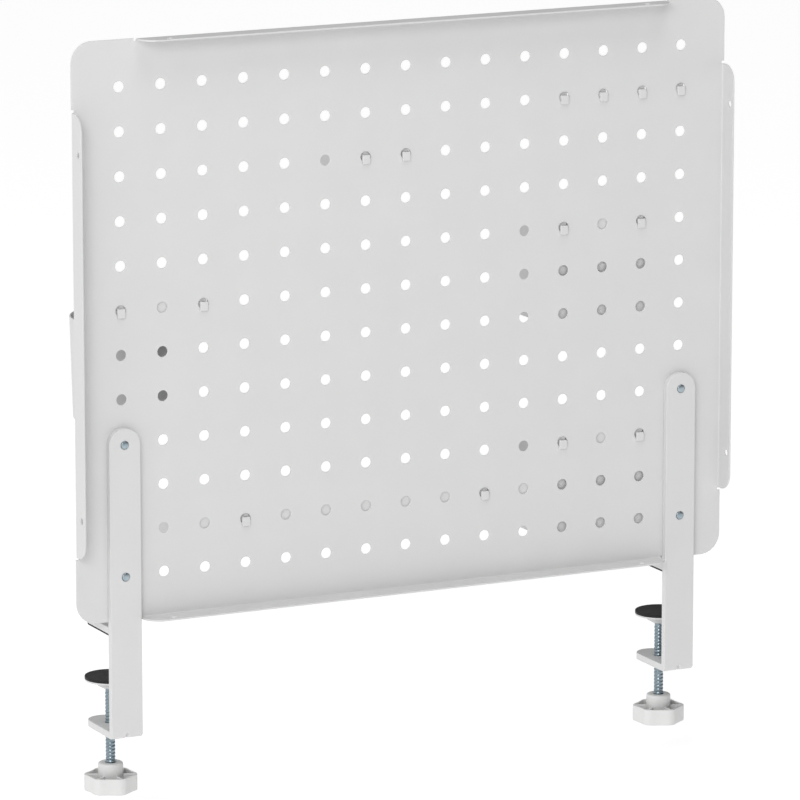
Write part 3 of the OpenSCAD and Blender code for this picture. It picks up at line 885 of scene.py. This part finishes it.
def build_tub(name, body, front_drop, level_share):
    """Open box of folded sheet. Its cheeks run down to a front that is front_drop lower than the
    back, after a level stretch."""
    low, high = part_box(name)
    depth = high.y - low.y
    mid_x, half = (high.x + low.x) / 2, (high.x - low.x) / 2
    start = depth * level_share
    run = depth - start
    ease = min(TUB_SOFTNESS / run, 0.45)

    def top(forward):
        """Height of the cheek at a distance in front of the back, eased at the slope's ends."""
        s = max(0.0, min(1.0, (forward - start) / run))
        if s < ease:
            fall = s * s / (2 * ease)
        elif s > 1 - ease:
            fall = 1 - ease - (1 - s) ** 2 / (2 * ease)
        else:
            fall = s - ease / 2
        return high.z - front_drop * fall / (1 - ease)

    stations = [depth * k / TUB_STATIONS for k in range(2, TUB_STATIONS - 1)]
    near, far, side = TUB_OUTER_R, depth - TUB_OUTER_R, half - TUB_OUTER_R
    outline = arc((side, near), TUB_OUTER_R, -90, 0, 5)
    outline += [Vector((half, s)) for s in stations]
    outline += arc((side, far), TUB_OUTER_R, 0, 90, 5)
    outline += arc((-side, far), TUB_OUTER_R, 90, 180, 5)
    outline += [Vector((-half, s)) for s in reversed(stations)]
    outline += arc((-side, near), TUB_OUTER_R, 180, 270, 5)
    inner = [inner_point(p, half, depth) for p in outline]

    def ring(share, height):
        """Outline share of the way from the outer wall to the inner one. height turns a point's
        distance from the back into its z."""
        made = []
        for p, q in zip(outline, inner):
            spot = p.lerp(q, share)
            made.append(Vector((mid_x + spot.x, high.y - spot.y, height(p.y))))
        return made

    def ground(up):
        return lambda forward: low.z + up

    def brim(down):
        return lambda forward: top(forward) - down

    def curve(*angles):
        """How far a quarter circle has come in from its two ends, at some angles."""
        return [(1 - math.cos(math.radians(a)), 1 - math.sin(math.radians(a))) for a in angles]

    edge, bow = TUB_RIM / BOX_T, TUB_FLOOR_BOW
    rings = [ring(b, ground(BOX_T * a)) for a, b in curve(0, 30, 60, 90)]       # under the floor
    rings += [ring(edge * a, brim(TUB_RIM * b)) for a, b in curve(0, 45, 90)]
    rings += [ring(1 - edge * a, brim(TUB_RIM * b)) for a, b in curve(90, 45, 0)]
    rings += [ring(1 + bow * a, ground(BOX_T * (1 + bow * b))) for a, b in curve(0, 30, 60, 90)]
    piece(name + "_tub", body, name, PAINT, "white_powder_coat", lofted(rings))


CUP_TAPER = 2.4 * MM
CUP_WALL = 1.6 * MM
LEDGE_HALF = 22 * MM                # half width of the ledge that joins the cup to its hanger


def build_cup():
    low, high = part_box("cup")
    mid = (low + high) / 2
    radius = (high.y - low.y) / 2
    foot = radius - CUP_TAPER
    profile = fillet([(0, low.z), (foot, low.z), (radius, high.z), (radius - CUP_WALL, high.z),
                      (foot - CUP_WALL, low.z + CUP_WALL), (0, low.z + CUP_WALL)],
                     [0, 3 * MM, 0.7 * MM, 0.7 * MM, 2 * MM, 0], 6, closed=False)
    piece("cup_shell", "cup", "cup", PAINT, "white_powder_coat",
          turned(profile, (mid.x, mid.y), 128))

    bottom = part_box("cup_hanger")[0].z
    wall_r = foot + CUP_TAPER * (bottom - low.z) / (high.z - low.z) + 0.02 * MM
    back = HANG_Y - BOX_T + 0.5 * MM
    ledge = [Vector((mid.x - LEDGE_HALF, back))]
    for k in range(25):                 # its front edge follows the cup's wall
        x = LEDGE_HALF * (k / 12 - 1)
        ledge.append(Vector((mid.x + x, mid.y + math.sqrt(wall_r ** 2 - x ** 2))))
    ledge.append(Vector((mid.x + LEDGE_HALF, back)))
    support = sheet([ledge], BOX_T, level(bottom), (0.3 * MM, 0.3 * MM))
    build_hanger("cup_hanger", "cup", [(0, 5), (2, 5)], bottom, [support])


# ---------- build ----------

build_panel()
for side, sign in SIDES.items():
    build_bracket(side, sign)
    build_foot(side, sign)
    build_spindle(side, sign)
    build_knob(side, sign)
build_bolts()
for number in range(1, 5):
    build_hook(f"hook_{number}", 10 + number, 1)
for name, pegs, front_drop, level_share in (("small_tray", [(6, 2), (7, 2)], 8 * MM, 0.55),
                                            ("shelf", [(3, 10), (9, 10)], 4 * MM, 0.7)):
    build_hanger(name + "_hanger", name, pegs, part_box(name + "_hanger")[0].z)
    build_tub(name, name, front_drop, level_share)
for name, row in (("upper_bin", 4), ("lower_bin", 9)):
    build_hanger(name + "_hanger", name, [(11, row), (13, row)], hole(0, row)[1] - 12 * MM)
    build_tub(name, name, 55.5 * MM, 0.35)
build_cup()

# ---------- stage ----------

FLOOR_HALF = 30
FLOOR_GAP = 12 * MM                 # below the lowest point that a spindle's feed reaches
lowest_feed = min(j["range_m"][0] for j in frame["joints"] if j["type"] == "slide")
floor_z = cad_low.z + lowest_feed - FLOOR_GAP
floor_mesh = bpy.data.meshes.new("floor")
floor_mesh.from_pydata([(x * FLOOR_HALF, y * FLOOR_HALF, floor_z)
                        for x, y in ((-1, -1), (1, -1), (1, 1), (-1, 1))], [], [(0, 1, 2, 3)])
floor = bpy.data.objects.new("floor", floor_mesh)
bpy.context.scene.collection.objects.link(floor)
pale = bpy.data.materials.new("pale_floor")
pale.use_nodes = True
pale_shader = pale.node_tree.nodes["Principled BSDF"]
pale_shader.inputs["Base Color"].default_value = (0.5, 0.5, 0.5, 1)
pale_shader.inputs["Roughness"].default_value = 0.9
pale_shader.inputs["Emission Color"].default_value = (1, 1, 1, 1)
pale_shader.inputs["Emission Strength"].default_value = 0.72
floor_mesh.materials.append(pale)

# ---------- light ----------

world = bpy.data.worlds.new("studio")
bpy.context.scene.world = world
world.use_nodes = True
sky, wires = world.node_tree.nodes, world.node_tree.links
sky["Background"].inputs["Color"].default_value = (1, 1, 1, 1)
facing = sky.new("ShaderNodeTexCoord")
axes = sky.new("ShaderNodeSeparateXYZ")
brightness = sky.new("ShaderNodeMapRange")  # the studio is brighter on the +X side
brightness.inputs["From Min"].default_value = -0.6
brightness.inputs["From Max"].default_value = 0.9
brightness.inputs["To Min"].default_value = 0.16
brightness.inputs["To Max"].default_value = 0.9
wires.new(facing.outputs["Generated"], axes.inputs["Vector"])
wires.new(axes.outputs["X"], brightness.inputs["Value"])
wires.new(brightness.outputs["Result"], sky["Background"].inputs["Strength"])


def softbox(name, place, aim, size, power):
    light = bpy.data.lights.new(name, "AREA")
    light.shape = "DISK"
    light.size = size
    light.energy = power
    made = bpy.data.objects.new(name, light)
    made.location = place
    made.rotation_mode = "QUATERNION"
    made.rotation_quaternion = (Vector(aim) - Vector(place)).to_track_quat("-Z", "Y")
    bpy.context.scene.collection.objects.link(made)


object_middle = (cad_low + cad_high) / 2
softbox("key", (2.0, 2.3, 1.7), object_middle, 1.3, 32)
softbox("top", (0.1, 1.1, 3.2), object_middle, 1.6, 25)

# ---------- camera ----------

AZIMUTH, ELEVATION = math.radians(153.99), math.radians(11.875)
DISTANCE = 5.35
AIM = Vector((0.0222, 0.0340, 0.1868))
LENS = 282.2                        # millimetres
towards_camera = Vector((math.sin(AZIMUTH) * math.cos(ELEVATION),
                         -math.cos(AZIMUTH) * math.cos(ELEVATION), math.sin(ELEVATION)))
lens = bpy.data.cameras.new("camera")
lens.lens = LENS
lens.clip_end = 200
camera = bpy.data.objects.new("camera", lens)
camera.location = AIM + towards_camera * DISTANCE
camera.rotation_mode = "QUATERNION"
camera.rotation_quaternion = (-towards_camera).to_track_quat("-Z", "Y")
bpy.context.scene.collection.objects.link(camera)
bpy.context.scene.camera = camera
bpy.context.scene.view_settings.view_transform = "Standard"
